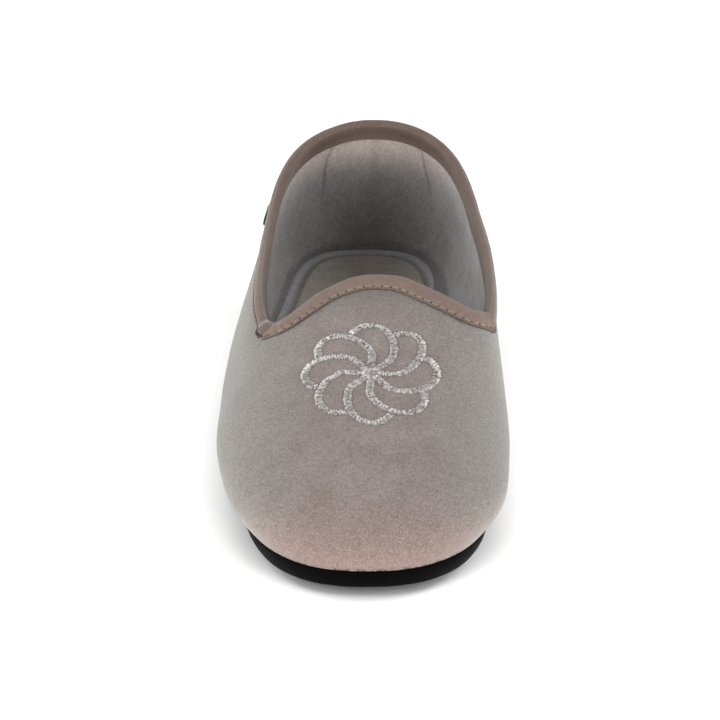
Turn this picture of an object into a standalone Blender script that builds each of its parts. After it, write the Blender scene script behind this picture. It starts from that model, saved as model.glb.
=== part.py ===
"""Ballerina slipper for the right foot: a soft one-piece upper with bound edges on a low rubber wedge.

The upper is a shell on the surface of a last, which is worked out from the sections below.
Frame: +Z up, toe towards -Y, medial side towards +X, floor at z = 0 under the middle of the slipper.
Sizes are millimetres here, and metres in the meshes.
"""
import math

import bmesh
import bpy
import numpy as np

OBJECT_NAME = "ballerina_slipper"
MM = 0.001
WELD = 1e-6

# Driving sizes
LENGTH = 252.0
WALL = 2.2  # napped cloth and felt lining together
GAP = 0.3  # left between pieces that meet
INSOLE_THICKNESS = 3.5
MIDDLE = np.array((-0.98, 0.41, 0.0))  # middle of the slipper's box on the last's own axes, set over the origin

# Plan of the last: the ends are rounded off as superellipses over a share of the length
HEEL_ROUND = 0.215
HEEL_POWER = 2.55
TOE_ROUND = 0.183
TOE_POWER = 2.37
SPINE_ENDS = (0.13, 0.86)  # the sole's rings shrink to a line between these stations

# Sections of the last. station is the share of the length from heel to toe. lateral and medial are half widths.
# feather is the height of the edge where upper meets sole, ridge the height of the crown. The two squares say how
# boxy each side is. lean shifts the section to the medial side for each 50 mm of rise. The wall is drawn in by tuck
# at the feather line and reaches its full width at the height widest above it. undercut says how much further than
# elsewhere the sole's side slopes in towards the floor.
SECTION_COLUMNS = (
    "station", "lateral", "medial", "feather", "ridge", "lateral_square", "medial_square", "lean", "tuck", "widest",
    "undercut",
)
SECTIONS = (
    (0.00, 38.5, 38.0, 12.6, 96.0, 3.50, 3.50, 1.5, 5.5, 36.0, 1.00),
    (0.15, 38.8, 37.6, 12.5, 93.0, 3.00, 2.75, 4.0, 5.5, 34.0, 1.00),
    (0.34, 46.1, 39.7, 11.8, 82.2, 2.05, 4.05, 7.0, 5.2, 28.0, 1.00),
    (0.50, 50.2, 41.6, 10.8, 67.0, 2.25, 5.80, 6.8, 5.8, 20.0, 1.00),
    (0.62, 51.0, 45.4, 9.8, 56.6, 2.20, 4.90, 4.2, 7.0, 17.6, 1.40),
    (0.74, 50.6, 48.4, 9.0, 47.4, 2.30, 2.60, 0.7, 9.0, 16.4, 2.10),
    (0.87, 46.0, 46.8, 9.2, 38.0, 2.25, 2.37, 0.0, 8.2, 16.0, 1.90),
    (1.00, 38.3, 39.7, 10.5, 32.0, 2.30, 2.30, 0.0, 2.8, 16.0, 1.00),
)
TABLE = dict(zip(SECTION_COLUMNS, np.array(SECTIONS).T))
WALL_POWER = 2.2
LEAN_RISE = 50.0
SIDE_BLEND = 40.0  # width over the crown in which one side's square passes into the other's

# Collar height against the share of the way from heel (0) to lateral notch (-1) or medial notch (1)
COLLAR_COLUMNS = ("share", "height")
COLLAR = (
    (-1.00, 47.1), (-0.75, 47.8), (-0.50, 51.2), (-0.25, 60.0), (-0.12, 63.9), (0.00, 66.8),
    (0.12, 65.5), (0.25, 61.9), (0.50, 51.9), (0.75, 49.7), (1.00, 50.6),
)
COLLAR_TABLE = dict(zip(COLLAR_COLUMNS, np.array(COLLAR).T))
NOTCH_ANGLE = 1.397  # round the outline from the toe, where collar and throat meet

# Throat: the front edge of the opening, from the lateral notch (-1) over the instep (0) to the medial notch (1).
# ahead is how far it lies in front of the notches.
THROAT_COLUMNS = ("share", "ahead")
THROAT = (
    (-1.00, 0.0), (-0.85, 2.2), (-0.70, 0.3), (-0.50, -3.5), (-0.25, -6.2), (0.00, -7.8),
    (0.25, -6.7), (0.50, -1.5), (0.70, 2.7), (0.85, 4.3), (1.00, 0.0),
)
THROAT_TABLE = dict(zip(THROAT_COLUMNS, np.array(THROAT).T))
THROAT_SHIFT = -4.4

# Underside: flat heel and forefoot, an arch between them and a spring at the toe
ARCH_SPAN = (0.27, 0.56)
ARCH_RISE = 2.2
SPRING_START = 0.80
SPRING_RISE = 3.6

# Rings of the two flat pieces, from the middle of the underside to the middle of the top. reach is the share of the
# way from the spine to the edge, inset the distance of that edge inside the feather line, rise the share of the
# thickness.
RING_COLUMNS = ("reach", "inset", "rise")
OUTSOLE_RINGS = (
    (0.0, 4.2, 0.00), (0.6, 4.2, 0.00), (1.0, 4.2, 0.00), (1.0, 2.6, 0.14),
    (1.0, 1.0, 0.50), (1.0, 0.0, 1.00), (0.6, 0.0, 1.00), (0.0, 0.0, 1.00),
)
INSOLE_RINGS = (
    (0.0, 2.8, 0.00), (0.6, 2.8, 0.00), (1.0, 2.8, 0.00), (1.0, 2.3, 0.55),
    (1.0, 3.0, 1.00), (0.6, 3.0, 0.95), (0.0, 3.0, 0.92),
)

# Bindings: a tape folded over the edge
TAPE = 0.7
COLLAR_LEGS = (3.8, 6.0)  # outside and inside
THROAT_LEGS = (6.5, 6.0)
COLLAR_END = 0.985  # share of the collar that its binding covers on each side
THROAT_END = 0.965
EDGE_STEP = 0.03
WALK_STEPS = 160
WALK_REACH = 24.0

# Grid sizes
AROUND = 88
UPPER_ROWS = 14
BINDING_COLUMNS = 40

COLOURS = {
    "upper": ("#968981", 0.92),
    "collar_binding": ("#8C7869", 0.75),
    "throat_binding": ("#94806F", 0.75),
    "insole": ("#8B857F", 0.90),
    "outsole": ("#171616", 0.60),
}


def through(at, knots, values):
    """A smooth curve through the values at the knots: cubic pieces whose slopes come from the neighbours."""
    slopes = np.gradient(values, knots)
    i = np.clip(np.searchsorted(knots, at) - 1, 0, len(knots) - 2)
    span = knots[i + 1] - knots[i]
    t = (at - knots[i]) / span
    start = (1 + 2 * t) * (1 - t) ** 2 * values[i] + t * (1 - t) ** 2 * span * slopes[i]
    end = t * t * (3 - 2 * t) * values[i + 1] + t * t * (t - 1) * span * slopes[i + 1]
    return start + end


def section(column, station):
    return through(station, TABLE["station"], TABLE[column])


def along(station):
    return LENGTH * (0.5 - station)


def end_shares(station):
    """How far a station lies into the rounded heel and into the rounded toe, 0 to 1."""
    heel = np.clip(1 - station / HEEL_ROUND, 0, 1)
    toe = np.clip(1 - (1 - station) / TOE_ROUND, 0, 1)
    return heel, toe


def outline(angle):
    """Widest outline in plan: heel at -pi, lateral side, toe at 0, medial side, heel at pi."""
    station = 0.5 + 0.5 * np.cos(angle)
    heel, toe = end_shares(station)
    ends = (1 - heel**HEEL_POWER) ** (1 / HEEL_POWER) * (1 - toe**TOE_POWER) ** (1 / TOE_POWER)
    side = np.where(np.sin(angle) < 0, -section("lateral", station), section("medial", station))
    return side * ends, station


def outward(angle):
    """Outward direction of the outline in plan."""
    step = 1e-3
    x0, station0 = outline(angle - step)
    x1, station1 = outline(angle + step)
    tangent = np.stack([x1 - x0, along(station1) - along(station0)])
    tangent /= np.linalg.norm(tangent, axis=0)
    return tangent[1], -tangent[0]


def gauge(x, station):
    """0 on the spine and 1 on the outline."""
    width = np.where(x < 0, section("lateral", station), section("medial", station))
    heel, toe = end_shares(station)
    power = np.where(station < 0.5, HEEL_POWER, TOE_POWER)
    reach = (np.abs(x) / width) ** power + heel**power + toe**power
    return np.clip(reach ** (1 / power), 0, 1)


def crown(x, station):
    """Point of the last over a place in plan, before the wall is drawn in at the feather line."""
    blend = np.clip(0.5 + x / SIDE_BLEND, 0, 1)
    blend = blend * blend * (3 - 2 * blend)
    square = section("lateral_square", station) * (1 - blend) + section("medial_square", station) * blend
    feather = section("feather", station)
    up = (section("ridge", station) - feather) * (1 - gauge(x, station) ** square) ** (1 / WALL_POWER)
    return np.stack([x + section("lean", station) * up / LEAN_RISE, along(station) + 0 * x, feather + up], -1)


def crown_normal(x, station):
    step_x, step_station = 0.02, 1e-4
    across = crown(x + step_x, station) - crown(x - step_x, station)
    forward = crown(x, station + step_station) - crown(x, station - step_station)
    normal = np.cross(forward, across)
    return normal / np.linalg.norm(normal, axis=-1, keepdims=True)


def drawn_in(points, angle, station):
    """The same points with the wall drawn in towards the feather line."""
    up = points[..., 2] - section("feather", station)
    tuck = np.clip(1 - up / section("widest", station), 0, 1) ** 2 * section("tuck", station)
    out_x, out_y = outward(angle)
    return points - np.stack([out_x * tuck, out_y * tuck, 0 * tuck], -1)


def feather_point(angle, inset):
    """Plan point on the feather line, moved inwards by inset, with its station."""
    x, station = outline(angle)
    out_x, out_y = outward(angle)
    drawn = section("tuck", station) + inset
    return x - out_x * drawn, along(station) - out_y * drawn, station


def at_height(angle, height):
    """Place in plan where the wall over an outline point reaches a height."""
    x, station = outline(angle)
    feather = section("feather", station)
    square = np.where(np.sin(angle) < 0, section("lateral_square", station), section("medial_square", station))
    share = np.clip((height - feather) / (section("ridge", station) - feather), 0, 1)
    reach = (1 - share**WALL_POWER) ** (1 / square)
    centre = np.maximum(station, HEEL_ROUND)
    return reach * x, centre + reach * (station - centre)


def collar_angle(share):
    return np.where(share < 0, -math.pi - share * (math.pi - NOTCH_ANGLE), math.pi - share * (math.pi - NOTCH_ANGLE))


def collar_edge(share):
    height = through(share, COLLAR_TABLE["share"], COLLAR_TABLE["height"])
    return at_height(collar_angle(share), height)


def throat_edge(share):
    """Front edge of the opening in plan."""
    notch_x, notch_station = collar_edge(np.where(share < 0, -1.0, 1.0))
    ahead = through(share, THROAT_TABLE["share"], THROAT_TABLE["ahead"])
    return THROAT_SHIFT + (notch_x - THROAT_SHIFT) * np.abs(share), notch_station + ahead / LENGTH


def topline(angle):
    round_heel = np.abs(angle) > NOTCH_ANGLE
    share = np.clip((math.pi - np.abs(angle)) / (math.pi - NOTCH_ANGLE), 0, 1) * np.sign(angle)
    collar_x, collar_station = collar_edge(share)
    throat_x, throat_station = throat_edge(np.clip(angle / NOTCH_ANGLE, -1, 1))
    return np.where(round_heel, collar_x, throat_x), np.where(round_heel, collar_station, throat_station)


def ring_angle(turn):
    """Angle round the outline for a turn of 0 to 1, with the notches on quarter turns."""
    return np.interp(turn, (0, 0.25, 0.5, 0.75, 1), (-math.pi, -NOTCH_ANGLE, 0, NOTCH_ANGLE, math.pi))


def upper_point(turn, rise):
    """Outer face of the upper, from the feather line (rise 0) to the edge of the opening (rise 1)."""
    angle = ring_angle(turn)
    x0, station0 = outline(angle)
    x1, station1 = topline(angle)
    share = (1 - np.cos(math.pi * rise)) / 2
    x = x0 + (x1 - x0) * share
    station = station0 + (station1 - station0) * share
    return drawn_in(crown(x, station), angle, station)


def ground(station):
    """Height of the sole's underside."""
    arch = np.clip((station - ARCH_SPAN[0]) / (ARCH_SPAN[1] - ARCH_SPAN[0]), 0, 1)
    spring = np.clip((station - SPRING_START) / (1 - SPRING_START), 0, 1)
    return ARCH_RISE * np.sin(math.pi * arch) ** 2 + SPRING_RISE * spring**2


def ring_point(turn, row, rings, slope):
    """Plan point, station and rise of a flat piece's ring, at a row of 0 to 1."""
    index = np.rint(row * (len(rings) - 1)).astype(int)
    ring = dict(zip(RING_COLUMNS, np.array(rings)[index].T))
    x, y, station = feather_point(ring_angle(turn), ring["inset"] * slope)
    spine = np.clip(station, *SPINE_ENDS)
    x = x * ring["reach"]
    y = along(spine) + ring["reach"] * (y - along(spine))
    return x, y, spine + ring["reach"] * (station - spine), ring["rise"]


def outsole_point(turn, row):
    undercut = section("undercut", outline(ring_angle(turn))[1])
    x, y, station, rise = ring_point(turn, row, OUTSOLE_RINGS, undercut)
    low = ground(station)
    top = section("feather", station) - GAP
    return np.stack([x, y, low + rise * (top - low)], -1)


def insole_point(turn, row):
    x, y, station, rise = ring_point(turn, row, INSOLE_RINGS, 1.0)
    return np.stack([x, y, section("feather", station) + rise * INSOLE_THICKNESS], -1)


def tape_profile(legs):
    """Folded tape over the wall's edge, as (depth below the edge, distance out of the wall's outer face)."""
    outer_leg, inner_leg = legs
    outer, inner = GAP, -WALL - GAP
    roof = -GAP
    return np.array([
        (outer_leg, outer), (outer_leg, outer + TAPE), (outer_leg / 2, outer + TAPE), (0, outer + TAPE),
        (roof - 0.75 * TAPE, outer + 0.3 * TAPE), (roof - TAPE, -WALL / 2), (roof - 0.75 * TAPE, inner - 0.3 * TAPE),
        (0, inner - TAPE), (inner_leg / 2, inner - TAPE), (inner_leg, inner - TAPE), (inner_leg, inner),
        (inner_leg / 2, inner), (roof, inner), (roof, outer), (outer_leg / 2, outer), (outer_leg, outer),
    ])


def walked(x, station, to_x, to_station, depth):
    """Surface points and normals at a depth below the edge, going towards a second place in plan."""
    share = np.linspace(0, 1, WALK_STEPS)[:, None] ** 2
    path_x = x + (to_x - x) * share
    path_station = station + (to_station - station) * share
    path = crown(path_x, path_station)
    length = np.zeros(path.shape[:2])
    length[1:] = np.cumsum(np.linalg.norm(np.diff(path, axis=0), axis=-1), axis=0)
    found = [np.interp(max(d, 0), length[:, k], share[:, 0]) for k, d in enumerate(depth)]
    at_x = x + (to_x - x) * np.array(found)
    at_station = station + (to_station - station) * np.array(found)
    down = path[1] - path[0]
    down /= np.linalg.norm(down, axis=-1, keepdims=True)
    points = crown(at_x, at_station) + down * np.minimum(depth, 0)[:, None]
    return points, crown_normal(at_x, at_station)


def binding_point(edge, target, end, legs):
    """Function that places a binding's grid: along the edge, and round the folded tape."""
    profile = tape_profile(legs)

    def place(turn, row):
        share = end * (2 * turn - 1)
        depth, out = profile[np.rint(row * (len(profile) - 1)).astype(int)].T
        x, station = edge(share)
        to_x, to_station = target(share, x, station)
        points, normals = walked(x, station, to_x, to_station, depth)
        return points + normals * out[:, None]

    return place


def down_the_wall(share, x, station):
    """The collar's tape lies down the wall, towards the outline."""
    outline_x, outline_station = outline(collar_angle(share))
    return x + 0.98 * (outline_x - x), station + 0.98 * (outline_station - station)


def towards_the_toe(share, x, station):
    """The throat's tape lies on the vamp, square to the edge in plan."""
    x0, station0 = throat_edge(np.clip(share - EDGE_STEP, -1, 1))
    x1, station1 = throat_edge(np.clip(share + EDGE_STEP, -1, 1))
    run = np.stack([x1 - x0, along(station1) - along(station0)])
    run *= WALK_REACH / np.linalg.norm(run, axis=0)
    return x + run[1], station + run[0] / LENGTH


def linear(value):
    """Linear colour of an sRGB hex value."""
    parts = [int(value[i : i + 2], 16) / 255 for i in (1, 3, 5)]
    return [c / 12.92 if c <= 0.04045 else ((c + 0.055) / 1.055) ** 2.4 for c in parts] + [1.0]


def material_for(name):
    colour, roughness = COLOURS[name]
    material = bpy.data.materials.new(name)
    material.use_nodes = True
    shader = material.node_tree.nodes["Principled BSDF"]
    shader.inputs["Base Color"].default_value = linear(colour)
    shader.inputs["Roughness"].default_value = roughness
    shader.inputs["Metallic"].default_value = 0.0
    return material


def grid_piece(name, columns, rows, place, collection):
    """An object from a grid whose points are moved to their places, with its seams welded and its ends closed."""
    bm = bmesh.new()
    bmesh.ops.create_grid(bm, x_segments=columns, y_segments=rows, size=0.5)
    flat = np.array([vert.co[:2] for vert in bm.verts]) + 0.5
    points = (place(flat[:, 0], flat[:, 1]) - MIDDLE) * MM
    for vert, point in zip(bm.verts, points):
        vert.co = point
    bmesh.ops.remove_doubles(bm, verts=bm.verts, dist=WELD)
    if name.endswith("binding"):
        ends = [edge for edge in bm.edges if edge.is_boundary]
        bmesh.ops.holes_fill(bm, edges=ends, sides=0)
        bmesh.ops.recalc_face_normals(bm, faces=bm.faces)
    mesh = bpy.data.meshes.new(name)
    bm.to_mesh(mesh)
    bm.free()
    mesh.shade_smooth()
    mesh.set_sharp_from_angle(angle=math.radians(45))
    mesh.materials.append(material_for(name))
    piece = bpy.data.objects.new(name, mesh)
    collection.objects.link(piece)
    return piece


def make_upper(collection):
    piece = grid_piece("upper", AROUND, UPPER_ROWS, upper_point, collection)
    wall = piece.modifiers.new("wall", "SOLIDIFY")
    wall.thickness = WALL * MM
    wall.offset = -1
    wall.use_even_offset = True
    wall.use_quality_normals = True
    return piece


def make_bindings(collection):
    rows = len(tape_profile(COLLAR_LEGS)) - 1
    collar = binding_point(collar_edge, down_the_wall, COLLAR_END, COLLAR_LEGS)
    throat = binding_point(throat_edge, towards_the_toe, THROAT_END, THROAT_LEGS)
    return [
        grid_piece("collar_binding", BINDING_COLUMNS, rows, collar, collection),
        grid_piece("throat_binding", BINDING_COLUMNS, rows, throat, collection),
    ]


def main():
    for obj in list(bpy.data.objects):
        bpy.data.objects.remove(obj, do_unlink=True)
    collection = bpy.data.collections.new(OBJECT_NAME)
    bpy.context.scene.collection.children.link(collection)
    stand = bpy.data.objects.new(OBJECT_NAME + "_floor_point", None)
    collection.objects.link(stand)
    pieces = [
        grid_piece("outsole", AROUND, len(OUTSOLE_RINGS) - 1, outsole_point, collection),
        grid_piece("insole", AROUND, len(INSOLE_RINGS) - 1, insole_point, collection),
        make_upper(collection),
        *make_bindings(collection),
    ]
    for piece in pieces:
        piece.parent = stand


main()
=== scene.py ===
# Ballerina slipper for the right foot: velour upper with bound edges, felt inside, black rubber wedge sole.
# Sizes are millimetres on the last's own axes: toe towards -y, medial side towards +x, floor at z = 0.
import math

import bmesh
import bpy
import numpy as np
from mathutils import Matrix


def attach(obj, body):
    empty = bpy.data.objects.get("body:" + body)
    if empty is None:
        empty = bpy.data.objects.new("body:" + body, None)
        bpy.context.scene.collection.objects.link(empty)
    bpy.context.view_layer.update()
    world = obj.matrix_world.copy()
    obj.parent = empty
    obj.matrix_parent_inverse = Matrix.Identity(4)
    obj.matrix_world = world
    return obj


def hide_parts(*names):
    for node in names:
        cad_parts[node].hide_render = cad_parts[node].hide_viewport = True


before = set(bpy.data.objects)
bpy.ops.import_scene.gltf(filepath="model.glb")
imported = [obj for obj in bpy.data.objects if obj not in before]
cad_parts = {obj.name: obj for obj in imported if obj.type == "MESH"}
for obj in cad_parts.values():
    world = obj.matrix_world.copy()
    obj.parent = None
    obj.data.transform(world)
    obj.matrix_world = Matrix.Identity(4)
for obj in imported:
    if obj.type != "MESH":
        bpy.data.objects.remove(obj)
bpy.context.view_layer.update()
mm = 0.001
rng = np.random.default_rng(38)
join = np.concatenate
print("frame loaded:", ", ".join(sorted(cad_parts)))


# The last, as the CAD has it

last = {
    "length": 252.0,
    "wall": 2.2,
    "middle": np.array((-0.98, 0.41, 0.0)),  # of the slipper's box, over the frame's origin
    "heelRound": 0.215,
    "heelPower": 2.55,
    "toeRound": 0.183,
    "toePower": 2.37,
    "spineEnds": (0.13, 0.86),
    "wallPower": 2.2,
    "leanRise": 50.0,
    "sideBlend": 40.0,
    "notchAngle": 1.397,  # round the outline from the toe, where collar and throat meet
    "throatShift": -4.4,
    "archSpan": (0.27, 0.56),
    "archRise": 2.2,
    "springStart": 0.80,
    "springRise": 3.6,
}
sectionColumns = (
    "station", "lateral", "medial", "feather", "ridge",
    "lateralSquare", "medialSquare", "lean", "tuck", "widest", "undercut",
)
sectionRows = (
    (0.00, 38.5, 38.0, 12.6, 96.0, 3.50, 3.50, 1.5, 5.5, 36.0, 1.00),
    (0.15, 38.8, 37.6, 12.5, 93.0, 3.00, 2.75, 4.0, 5.5, 34.0, 1.00),
    (0.34, 46.1, 39.7, 11.8, 82.2, 2.05, 4.05, 7.0, 5.2, 28.0, 1.00),
    (0.50, 50.2, 41.6, 10.8, 67.0, 2.25, 5.80, 6.8, 5.8, 20.0, 1.00),
    (0.62, 51.0, 45.4, 9.8, 56.6, 2.20, 4.90, 4.2, 7.0, 17.6, 1.40),
    (0.74, 50.6, 48.4, 9.0, 47.4, 2.30, 2.60, 0.7, 9.0, 16.4, 2.10),
    (0.87, 46.0, 46.8, 9.2, 38.0, 2.25, 2.37, 0.0, 8.2, 16.0, 1.90),
    (1.00, 38.3, 39.7, 10.5, 32.0, 2.30, 2.30, 0.0, 2.8, 16.0, 1.00),
)
sections = dict(zip(sectionColumns, np.array(sectionRows).T))
collarColumns = ("share", "height")  # share of the way from heel (0) to lateral (-1) or medial notch (1)
collarRows = (
    (-1.00, 47.1), (-0.75, 47.8), (-0.50, 51.2), (-0.25, 60.0), (-0.12, 63.9), (0.00, 66.8),
    (0.12, 65.5), (0.25, 61.9), (0.50, 51.9), (0.75, 49.7), (1.00, 50.6),
)
collarLine = dict(zip(collarColumns, np.array(collarRows).T))
throatColumns = ("share", "ahead")  # lateral (-1) to medial notch (1), mm in front of the notches
throatRows = (
    (-1.00, 0.0), (-0.85, 2.2), (-0.70, 0.3), (-0.50, -3.5), (-0.25, -6.2), (0.00, -7.8),
    (0.25, -6.7), (0.50, -1.5), (0.70, 2.7), (0.85, 4.3), (1.00, 0.0),
)
throatLine = dict(zip(throatColumns, np.array(throatRows).T))


def smoothThrough(at, knots, values):
    # cubic pieces through the values at the knots, with slopes taken from the neighbours
    slopes = np.gradient(values, knots)
    i = np.clip(np.searchsorted(knots, at) - 1, 0, len(knots) - 2)
    span = knots[i + 1] - knots[i]
    t = (at - knots[i]) / span
    start = (1 + 2 * t) * (1 - t) ** 2 * values[i] + t * (1 - t) ** 2 * span * slopes[i]
    end = t * t * (3 - 2 * t) * values[i + 1] + t * t * (t - 1) * span * slopes[i + 1]
    return start + end


def smoothStep(low, high, value):
    t = np.clip((value - low) / (high - low), 0, 1)
    return t * t * (3 - 2 * t)


def bump(value, middle, width):
    # bell of height 1 round a middle
    return np.exp(-((value - middle) / width) ** 2)


def unit(vectors):
    return vectors / np.linalg.norm(vectors, axis=-1, keepdims=True)


def sectionAt(column, station):
    return smoothThrough(station, sections["station"], sections[column])


def alongFoot(station):
    return last["length"] * (0.5 - station)


def endShares(station):
    # how far a station lies into the rounded heel and into the rounded toe, 0 to 1
    heel = np.clip(1 - station / last["heelRound"], 0, 1)
    toe = np.clip(1 - (1 - station) / last["toeRound"], 0, 1)
    return heel, toe


def outline(angle):
    # widest outline in plan, with superellipse ends: heel at -pi and pi, toe at 0, lateral side below 0
    station = 0.5 + 0.5 * np.cos(angle)
    heel, toe = endShares(station)
    heelEnd = (1 - heel ** last["heelPower"]) ** (1 / last["heelPower"])
    toeEnd = (1 - toe ** last["toePower"]) ** (1 / last["toePower"])
    side = np.where(np.sin(angle) < 0, -sectionAt("lateral", station), sectionAt("medial", station))
    return side * heelEnd * toeEnd, station


def outward(angle):
    # outward direction of the outline in plan, from its slope
    step = 1e-3
    x0, station0 = outline(angle - step)
    x1, station1 = outline(angle + step)
    tangent = np.stack([x1 - x0, alongFoot(station1) - alongFoot(station0)])
    tangent /= np.linalg.norm(tangent, axis=0)
    return tangent[1], -tangent[0]


def gauge(x, station):
    # 0 on the spine and 1 on the outline
    width = np.where(x < 0, sectionAt("lateral", station), sectionAt("medial", station))
    heel, toe = endShares(station)
    power = np.where(station < 0.5, last["heelPower"], last["toePower"])
    reach = (np.abs(x) / width) ** power + heel**power + toe**power
    return np.clip(reach ** (1 / power), 0, 1)


def crown(x, station):
    # the last over a place in plan, leaning inwards: feather height plus ridge height times
    # (1 - gauge^square)^(1/power)
    blend = smoothStep(-last["sideBlend"] / 2, last["sideBlend"] / 2, x)
    square = sectionAt("lateralSquare", station) * (1 - blend) + sectionAt("medialSquare", station) * blend
    feather = sectionAt("feather", station)
    ridge = sectionAt("ridge", station) - feather
    up = ridge * (1 - gauge(x, station) ** square) ** (1 / last["wallPower"])
    lean = sectionAt("lean", station) * up / last["leanRise"]
    return np.stack([x + lean, alongFoot(station) + 0 * x, feather + up], -1)


def crownNormal(x, station):
    stepX, stepStation = 0.02, 1e-4
    across = crown(x + stepX, station) - crown(x - stepX, station)
    forward = crown(x, station + stepStation) - crown(x, station - stepStation)
    return unit(np.cross(forward, across))


def drawnIn(points, angle, station):
    # the wall drawn in towards the feather line by tuck times the square of the share of height left
    up = points[..., 2] - sectionAt("feather", station)
    tuck = np.clip(1 - up / sectionAt("widest", station), 0, 1) ** 2 * sectionAt("tuck", station)
    outX, outY = outward(angle)
    return points - np.stack([outX * tuck, outY * tuck, 0 * tuck], -1)


def featherPoint(angle, inset):
    # plan point on the feather line, moved inwards, with its station
    x, station = outline(angle)
    outX, outY = outward(angle)
    drawn = sectionAt("tuck", station) + inset
    return x - outX * drawn, alongFoot(station) - outY * drawn, station


def atHeight(angle, height):
    # place in plan where the wall over an outline point reaches a height
    x, station = outline(angle)
    feather = sectionAt("feather", station)
    lateral = np.sin(angle) < 0
    square = np.where(lateral, sectionAt("lateralSquare", station), sectionAt("medialSquare", station))
    share = np.clip((height - feather) / (sectionAt("ridge", station) - feather), 0, 1)
    reach = (1 - share ** last["wallPower"]) ** (1 / square)
    centre = np.maximum(station, last["heelRound"])
    return reach * x, centre + reach * (station - centre)


def collarAngle(share):
    sweep = math.pi - last["notchAngle"]
    return np.where(share < 0, -math.pi - share * sweep, math.pi - share * sweep)


def collarEdge(share):
    return atHeight(collarAngle(share), smoothThrough(share, collarLine["share"], collarLine["height"]))


def throatEdge(share):
    # front edge of the opening, from the lateral notch (-1) over the instep (0) to the medial notch (1)
    notchX, notchStation = collarEdge(np.where(share < 0, -1.0, 1.0))
    ahead = smoothThrough(np.clip(share, -1, 1), throatLine["share"], throatLine["ahead"])
    x = last["throatShift"] + (notchX - last["throatShift"]) * np.abs(share)
    return x, notchStation + ahead / last["length"]


def topline(angle):
    sweep = math.pi - last["notchAngle"]
    share = np.clip((math.pi - np.abs(angle)) / sweep, 0, 1) * np.sign(angle)
    collarX, collarStation = collarEdge(share)
    throatX, throatStation = throatEdge(np.clip(angle / last["notchAngle"], -1, 1))
    roundHeel = np.abs(angle) > last["notchAngle"]
    return np.where(roundHeel, collarX, throatX), np.where(roundHeel, collarStation, throatStation)


def ringAngle(turn):
    # angle round the outline for a turn of 0 to 1, with the notches on quarter turns
    notch = last["notchAngle"]
    return np.interp(turn, (0, 0.25, 0.5, 0.75, 1), (-math.pi, -notch, 0, notch, math.pi))


def ground(station):
    # underside of the sole: flat heel and forefoot, an arch between them and a spring at the toe
    low, high = last["archSpan"]
    arch = np.clip((station - low) / (high - low), 0, 1)
    spring = np.clip((station - last["springStart"]) / (1 - last["springStart"]), 0, 1)
    return last["archRise"] * np.sin(math.pi * arch) ** 2 + last["springRise"] * spring**2


# Meshes from grids

def gridNormals(points):
    # unit normals of a grid that closes on itself across, from differences between neighbours
    across = np.roll(points, -1, 1) - np.roll(points, 1, 1)
    return unit(np.cross(across, np.gradient(points, axis=0)))


def gridFaces(rows, columns, wrapRows=False):
    # quads that join each grid point to its neighbours to the right, all the way round, and above
    r = np.arange(rows if wrapRows else rows - 1)[:, None]
    c = np.arange(columns)[None]
    r1, c1 = (r + 1) % rows, (c + 1) % columns
    corners = (r * columns + c, r * columns + c1, r1 * columns + c1, r1 * columns + c)
    return np.stack(np.broadcast_arrays(*corners), -1).reshape(-1, 4)


def addObject(name, data):
    added = bpy.data.objects.new(name, data)
    bpy.context.scene.collection.objects.link(added)
    return added


def addPiece(name, points, faces, layers=(), caps=(), weld=False, sharp=50):
    # an object from points in millimetres, with float layers for the materials
    # caps are loops closed by one face, and sharp is the angle of an edge that isn't smoothed
    mesh = bpy.data.meshes.new(name)
    places = (points.reshape(-1, 3) - last["middle"]) * mm
    mesh.from_pydata(places.tolist(), [], faces.tolist() + [cap.tolist() for cap in caps])
    for layer, values in dict(layers).items():
        attribute = mesh.attributes.new(layer, "FLOAT", "POINT")
        attribute.data.foreach_set("value", np.ascontiguousarray(values, np.float32).ravel())
    if weld:
        bm = bmesh.new()
        bm.from_mesh(mesh)
        bmesh.ops.remove_doubles(bm, verts=bm.verts, dist=1e-7)
        bmesh.ops.recalc_face_normals(bm, faces=bm.faces)
        bm.to_mesh(mesh)
        bm.free()
    mesh.update()
    mesh.validate()
    mesh.shade_smooth()
    mesh.set_sharp_from_angle(angle=math.radians(sharp))
    return addObject(name, mesh)


def addGrid(name, points, layers=(), capped=False, wrapRows=False, weld=False, sharp=50):
    # an object from one grid that closes on itself across, its ends capped or joined where asked
    rows, columns = points.shape[:2]
    loop = np.arange(columns)
    caps = (loop, (rows - 1) * columns + loop) if capped else ()
    return addPiece(name, points, gridFaces(rows, columns, wrapRows), layers, caps, weld, sharp)


def dress(piece, material, node=None):
    piece.data.materials.append(material)
    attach(piece, "root")
    if node:
        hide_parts(node)
    triangles = sum(len(face.vertices) - 2 for face in piece.data.polygons)
    print(f"{piece.name}: {triangles} triangles, {material.name}")


# Materials

def linear(value):
    parts = [int(value[i : i + 2], 16) / 255 for i in (1, 3, 5)]
    return [c / 12.92 if c <= 0.04045 else ((c + 0.055) / 1.055) ** 2.4 for c in parts] + [1.0]


def wire(tree, node, links):
    for socket, source in dict(links).items():
        tree.links.new(source, node.inputs[socket])


def addNode(tree, kind, settings=(), inputs=(), links=()):
    node = tree.nodes.new("ShaderNode" + kind)
    for name, value in dict(settings).items():
        setattr(node, name, value)
    for socket, value in dict(inputs).items():
        node.inputs[socket].default_value = value
    wire(tree, node, links)
    return node


def newMaterial(name, sockets):
    material = bpy.data.materials.new(name)
    material.use_nodes = True
    tree = material.node_tree
    shader = tree.nodes["Principled BSDF"]
    for socket, value in sockets.items():
        shader.inputs[socket].default_value = value
    return material, tree, shader


mixA, mixB, mixResult = 6, 7, 2  # colour sockets of the Mix node
noiseSpan = (0.3, 0.7)  # where most of a noise's values lie


def sheen(weight, roughness, tint="#FFFFFF"):
    return {"Sheen Weight": weight, "Sheen Roughness": roughness, "Sheen Tint": linear(tint)}


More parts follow.
